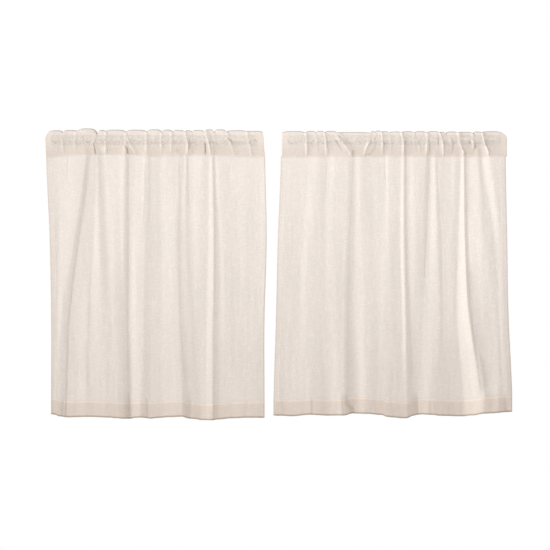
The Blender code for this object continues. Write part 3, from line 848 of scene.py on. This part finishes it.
class CURTAIN_OT_panels(bpy.types.Operator):
    """Hangs the two panels on their folds, with their hems turned and pressed"""

    bl_idname = "curtain.panels"
    bl_label = "Hang the panels"

    def execute(self, context):
        cloth = context.scene.curtain_cloth
        material = cotton("open_weave_cotton", cloth, context.scene.curtain_colours)
        for curtain in CURTAINS:
            self.hang(curtain, cloth, material)
        return {"FINISHED"}

    def hang(self, curtain, cloth, material):
        points, hem_row = panel_front(curtain, cloth)
        crease_shade = points[:1] + np.array([0.0, cloth.thickness * TUCK_BACK, cloth.tuck])
        points = np.concatenate([crease_shade, points])
        normals = grid_normals(points)
        points, normals, behind, edge, length = with_side_hems(points, normals, cloth)
        flat = points - normals * behind[None, :, None]
        height = flat[:, :, 2] - flat[-1:, :, 2]
        fold = points[-1:] - normals[-1:] * cloth.foot_gap / 2
        fold[:, :, 2] -= cloth.foot_gap / 2
        back = slice(len(points) - 1, hem_row, -1)
        turned = points[back] - normals[back] * (cloth.foot_gap - behind)[None, :, None]
        sheet = np.concatenate([flat, fold, turned])
        maps = {
            "weave": np.stack([length, height], axis=2),
            "place": np.stack([edge, height], axis=2),
        }
        for key, values in maps.items():
            maps[key] = np.concatenate([values, values[-1:], values[back]])
        maps["tuck"] = tuck_map(sheet, curtain, curtain.creases, cloth.panel_shade_depth)
        name = f"{curtain.side}_panel_cloth"
        piece = cloth_object(name, sheet, maps, material, cloth.thickness)
        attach(piece, "root")
        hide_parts(f"{curtain.side}_panel")


def pocket_path():
    """The way round the pocket from the front seam over the top to the back seam, as the
    height point, the half depth and the side of each step."""
    rows_below, rows_over = POCKET_ROWS
    rise = np.linspace(-1, 0, rows_below, endpoint=False)
    half = between(SEAM_HALF, ROD_HALF, np.cos(rise * np.pi / 2))
    turn = np.linspace(0, np.pi / 2, rows_over)
    over = np.sin(turn) ** (2 / CROWN_POWER)
    over_half = ROD_HALF * np.cos(turn).clip(0) ** (2 / CROWN_POWER)
    point = np.concatenate([rise, over])
    depth = np.concatenate([half, over_half])
    side = np.concatenate([-np.ones(len(depth)), np.ones(len(depth) - 1)])
    point, depth = (np.concatenate([way, way[-2::-1]]) for way in (point, depth))
    return point, depth, side


def pocket_points(curtain, cloth):
    """The outside of a rod pocket as a grid: rows go round it, columns run across it."""
    gathers = curtain.gathers
    widths = [b.seam - a.seam for a, b in zip(gathers, gathers[1:])]
    number, share = columns(widths, cloth.curl_step, FEWEST_BY_GATHER)
    point, depth, side = (v[:, None] for v in pocket_path())
    sizes = {k: np.array([getattr(g, k) for g in gathers], float) * MM for k in Gather._fields}
    here, after = ({k: v[n] for k, v in sizes.items()} for n in (number, number + 1))
    top, middle, seam, dip = (
        between(here[k], after[k], share) for k in ("top", "middle", "seam", "dip")
    )
    upper = between(middle, top, (point - MIDDLE_POINT) / (1 - MIDDLE_POINT))
    lower = between(seam, middle, (point + 1) / (MIDDLE_POINT + 1))
    across = np.where(point > MIDDLE_POINT, upper, lower)
    draw = curtain.ends[0] * MM * smooth(1 - seam / END_LENGTH)
    draw = draw - curtain.ends[1] * MM * smooth(1 - (seam[-1] - seam) / END_LENGTH)
    across = across + draw * point.clip(0) ** 2
    crown = 1 - np.abs(2 * share - 1) ** CROWN_FLATNESS
    high = ROD_DROP + between(-dip, here["rise"], crown)
    low = ROD_DROP - along(curtain.seam, seam / MM) * MM
    height = -ROD_DROP + np.where(point > 0, point * high, -point * low)
    gathered = smooth((point + 1) / (GATHERED_FROM + 1))
    width = after["seam"] - here["seam"]
    pinch = here["pinch"] * (1 - smooth(share * width / PINCH_HALF))
    pinch = pinch + after["pinch"] * (1 - smooth((1 - share) * width / PINCH_HALF))
    swell = pinch * gathered * np.where(side < 0, 1.0, BACK_SHARE)
    swell = swell * np.clip(depth / ROD_HALF * GATHERS_FULL, 0, 1)
    swell = swell * (1 - TAUT_SHARE * np.exp(-(((height + ROD_DROP) / TAUT_HALF) ** 2)))
    bumps = relief(across, height + side * BACK_SHIFT, SEEDS[curtain.side][1], cloth)
    bumps = bumps * np.clip(depth / ROD_HALF, 0, 1)
    fold = seam_depth(curtain.folds, seam)
    y = side * (depth + swell + bumps) - (fold - SEAM_HALF) * (1 - gathered)
    curls = crease_relief(across, -height, curtain.curls) * np.where(side < 0, 1.0, -BACK_SHARE)
    y = y - curls * smooth((point + 1) / (CURLS_FROM + 1)) * smooth(depth / ROD_HALF * CURLS_FULL)
    return np.stack([across + curtain.corner * MM, y, height], axis=2)


class CURTAIN_OT_pockets(bpy.types.Operator):
    """Gathers the two rod pockets over the space for the rod"""

    bl_idname = "curtain.pockets"
    bl_label = "Gather the rod pockets"

    def execute(self, context):
        cloth = context.scene.curtain_cloth
        material = cotton("doubled_cotton", cloth, context.scene.curtain_colours, pocket=True)
        for curtain in CURTAINS:
            self.gather(curtain, cloth, material)
        return {"FINISHED"}

    def gather(self, curtain, cloth, material):
        points = pocket_points(curtain, cloth)[::-1]
        normals = grid_normals(points)
        points, normals, behind, edge, length = with_side_hems(points, normals, cloth)
        tube = points - normals * behind[None, :, None]
        steps = np.linalg.norm(np.diff(tube, axis=0), axis=2).mean(axis=1)
        way_round = np.concatenate([[0], np.cumsum(steps)])[:, None]
        maps = {
            "weave": np.stack([length, np.broadcast_to(way_round, length.shape)], axis=2),
            "place": np.stack([edge, -tube[:, :, 2]], axis=2),
            "tuck": tuck_map(tube, curtain, curtain.curls, cloth.pocket_shade_depth),
        }
        name = f"{curtain.side}_pocket_cloth"
        piece = cloth_object(name, tube, maps, material, cloth.thickness)
        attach(piece, "root")
        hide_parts(f"{curtain.side}_heading")


class CURTAIN_OT_stitches(bpy.types.Operator):
    """Sews the pockets' seams and all the hems with rows of stitches"""

    bl_idname = "curtain.stitches"
    bl_label = "Sew the seams and hems"

    def execute(self, context):
        cloth = context.scene.curtain_cloth
        material = sewing_thread(context.scene.curtain_colours)
        stitch = self.one_stitch(cloth)
        for curtain in CURTAINS:
            lines = [self.pocket_line(curtain, cloth), *self.hem_lines(curtain, cloth)]
            self.sew(f"{curtain.side}_stitches", lines, cloth, stitch, material)
        return {"FINISHED"}

    def one_stitch(self, cloth):
        """One stitch of thread as its points and faces."""
        bpy.ops.object.select_all(action="DESELECT")
        bpy.ops.mesh.primitive_uv_sphere_add(segments=6, ring_count=4, radius=0.5)
        model = bpy.context.active_object
        thread = cloth.sewing_thread
        model.data.transform(Matrix.Rotation(math.pi / 2, 4, "Y"))
        model.data.transform(Matrix.Diagonal((cloth.stitch, thread, thread, 1)))
        points = np.array([v.co for v in model.data.vertices])
        faces = [list(face.vertices) for face in model.data.polygons]
        bpy.data.objects.remove(model)
        return points, faces

    def pocket_line(self, curtain, cloth):
        """The line of the pocket's seam, and the way that the cloth faces along it."""
        points = pocket_points(curtain, cloth)[::-1]
        return between(points[-1], points[-2], SEAM_LINE), grid_normals(points)[-1]

    def hem_lines(self, curtain, cloth):
        """The lines of the bottom hem and of the two side hems, with the way they face."""
        points, hem_row = panel_front(curtain, cloth)
        normals = grid_normals(points)
        lines = [(between(points[hem_row], points[hem_row + 1], 0.5), normals[hem_row])]
        points, normals = points[:hem_row], normals[:hem_row]
        distance = lengths(points)
        inset = cloth.side_hem - cloth.stitch_inset
        for places in (np.array([inset]), distance[:, -1:] - inset):
            lines.append([at_lengths(grid, distance, places)[:, 0] for grid in (points, normals)])
        return lines

    def sew(self, name, lines, cloth, stitch, material):
        """Copies the stitch along every line and joins the copies into one piece."""
        shape, faces = stitch
        pitch = cloth.stitch + cloth.stitch_gap
        points, polygons = [], []
        for line, normals in lines:
            line, normals = line[None], normals[None]
            distance = lengths(line)
            starts = np.arange(pitch, distance[0, -1] - pitch, pitch)
            first = at_lengths(line, distance, starts)[0]
            last = at_lengths(line, distance, starts + cloth.stitch)[0]
            outward = at_lengths(normals, distance, starts + cloth.stitch / 2)[0]
            run = (last - first) / np.linalg.norm(last - first, axis=1, keepdims=True)
            across = np.cross(outward, run)
            across /= np.linalg.norm(across, axis=1, keepdims=True)
            outward = np.cross(run, across)
            frames = np.stack([run, across, outward], axis=1)
            middles = (first + last) / 2 + outward * cloth.sewing_thread * STITCH_PROUD
            for copy in shape[None] @ frames + middles[:, None]:
                start = len(points)
                points.extend(copy.tolist())
                polygons.extend([[start + k for k in face] for face in faces])
        piece = mesh_object(name, points, polygons, material)
        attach(piece, "root")


class CURTAIN_OT_stage(bpy.types.Operator):
    """Lays the floor and sets the camera and the soft lamps"""

    bl_idname = "curtain.stage"
    bl_label = "Set the stage"

    def execute(self, context):
        scene = context.scene
        stage = scene.curtain_stage
        target = Vector((stage.view_x, 0.0, stage.view_z))
        self.lay_floor(scene)
        self.set_camera(scene, stage, target)
        self.add_lamp(scene, "key", KEY_PLACE, target, KEY_SIZE, stage.key)
        aim = target + Vector((0.0, 0.0, FRONT_AIM))
        self.add_lamp(scene, "front", FRONT_PLACE, aim, FRONT_SIZE, stage.front)
        self.light_all_round(scene, stage)
        scene.view_settings.view_transform = "Standard"
        return {"FINISHED"}

    def lay_floor(self, scene):
        bpy.ops.object.select_all(action="DESELECT")
        bpy.ops.mesh.primitive_plane_add(size=1.0, location=FLOOR_MIDDLE)
        floor = bpy.context.active_object
        floor.name = "studio_floor"
        size = Matrix.Diagonal((*FLOOR_SIZE, 1, 1))
        floor.data.transform(Matrix.Translation(floor.location) @ size)
        floor.location = (0.0, 0.0, 0.0)
        floor.data.materials.append(studio_paint(scene.curtain_colours))

    def set_camera(self, scene, stage, target):
        camera = bpy.data.objects.new("camera", bpy.data.cameras.new("camera"))
        scene.collection.objects.link(camera)
        camera.location = target - Vector((0.0, stage.distance, 0.0))
        camera.rotation_euler = (math.pi / 2, 0.0, 0.0)
        camera.data.sensor_width = SENSOR
        camera.data.lens = SENSOR * stage.distance / stage.frame_width
        scene.camera = camera

    def add_lamp(self, scene, name, place, target, size, power):
        lamp = bpy.data.objects.new(name, bpy.data.lights.new(name, "AREA"))
        lamp.data.energy = power
        lamp.data.shape = "RECTANGLE"
        lamp.data.size, lamp.data.size_y = size, size / 3
        lamp.location = place
        lamp.rotation_euler = (target - Vector(place)).to_track_quat("-Z", "Y").to_euler()
        scene.collection.objects.link(lamp)

    def light_all_round(self, scene, stage):
        """A white surround for the eye, and a dimmer one for the light it gives."""
        world = bpy.data.worlds.new("surround")
        world.use_nodes = True
        tree = world.node_tree
        tree.nodes.clear()
        given, seen = (
            add(tree, "Background", {"Color": (1, 1, 1), "Strength": strength})
            for strength in (stage.ambient, 1.0)
        )
        eye = add(tree, "LightPath", out="Is Camera Ray")
        add(tree, "OutputWorld", {"Surface": add(tree, "MixShader", (eye, given, seen))})
        scene.world = world


class CURTAIN_PT_sidebar(bpy.types.Panel):
    """The curtain maker's steps, sizes and colours"""

    bl_idname = "CURTAIN_PT_sidebar"
    bl_label = "Cafe curtains"
    bl_space_type = "VIEW_3D"
    bl_region_type = "UI"
    bl_category = "Curtains"

    def draw(self, context):
        for operator in OPERATORS:
            self.layout.operator(operator.bl_idname)
        for name in GROUPS:
            box = self.layout.box()
            group = getattr(context.scene, name)
            for key in group.__annotations__:
                box.prop(group, key)


OPERATORS = (CURTAIN_OT_panels, CURTAIN_OT_pockets, CURTAIN_OT_stitches, CURTAIN_OT_stage)
GROUPS = {
    "curtain_cloth": CurtainCloth,
    "curtain_colours": CurtainColours,
    "curtain_stage": CurtainStage,
}


def register():
    for item in (*GROUPS.values(), *OPERATORS, CURTAIN_PT_sidebar):
        bpy.utils.register_class(item)
    for name, group in GROUPS.items():
        setattr(bpy.types.Scene, name, PointerProperty(type=group))


def unregister():
    for name in GROUPS:
        delattr(bpy.types.Scene, name)
    for item in (CURTAIN_PT_sidebar, *OPERATORS, *GROUPS.values()):
        bpy.utils.unregister_class(item)


def main():
    register()
    bpy.ops.curtain.panels()
    bpy.ops.curtain.pockets()
    bpy.ops.curtain.stitches()
    bpy.ops.curtain.stage()


if __name__ == "__main__":
    main()
